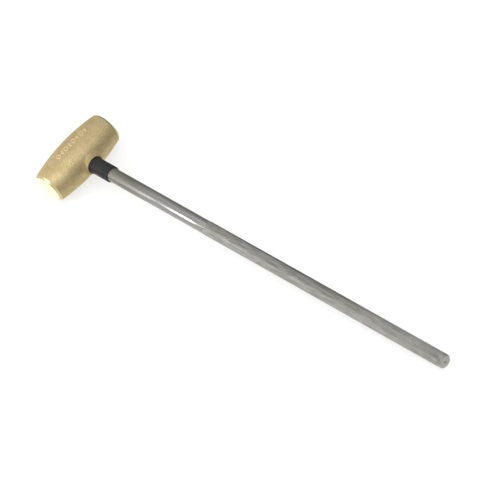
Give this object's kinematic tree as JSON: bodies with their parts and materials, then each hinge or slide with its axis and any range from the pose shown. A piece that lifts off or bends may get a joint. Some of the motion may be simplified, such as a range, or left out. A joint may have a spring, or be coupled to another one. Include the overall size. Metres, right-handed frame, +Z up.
{
  "type": "long-handled soft-face hammer",
  "caption": "Barrel-shaped cast brass hammer head with bevelled striking faces on a long knurled aluminium bar handle with a black rubber neck collar.",
  "frame": {"origin": "under the middle of the hammer's bounding box, on the flat surface that it lies on", "axes": "+X from the head along the handle (seen from above), Y along the head from one striking face to the other, +Z up"},
  "size_m": [0.8514, 0.1396, 0.0687],
  "materials": {
    "cast_brass": "fine sand-cast skin, turned striking faces and bevels",
    "aluminium_bar": "smooth drawn neck, diamond-knurled grip",
    "black_rubber": "satin moulded rubber",
    "spring_steel": "dark oiled spring steel"
  },
  "bodies": {
    "root": {"head": "cast_brass", "handle_bar": "aluminium_bar", "neck_collar": "black_rubber", "lock_pin": "spring_steel"}
  },
  "joints": []
}
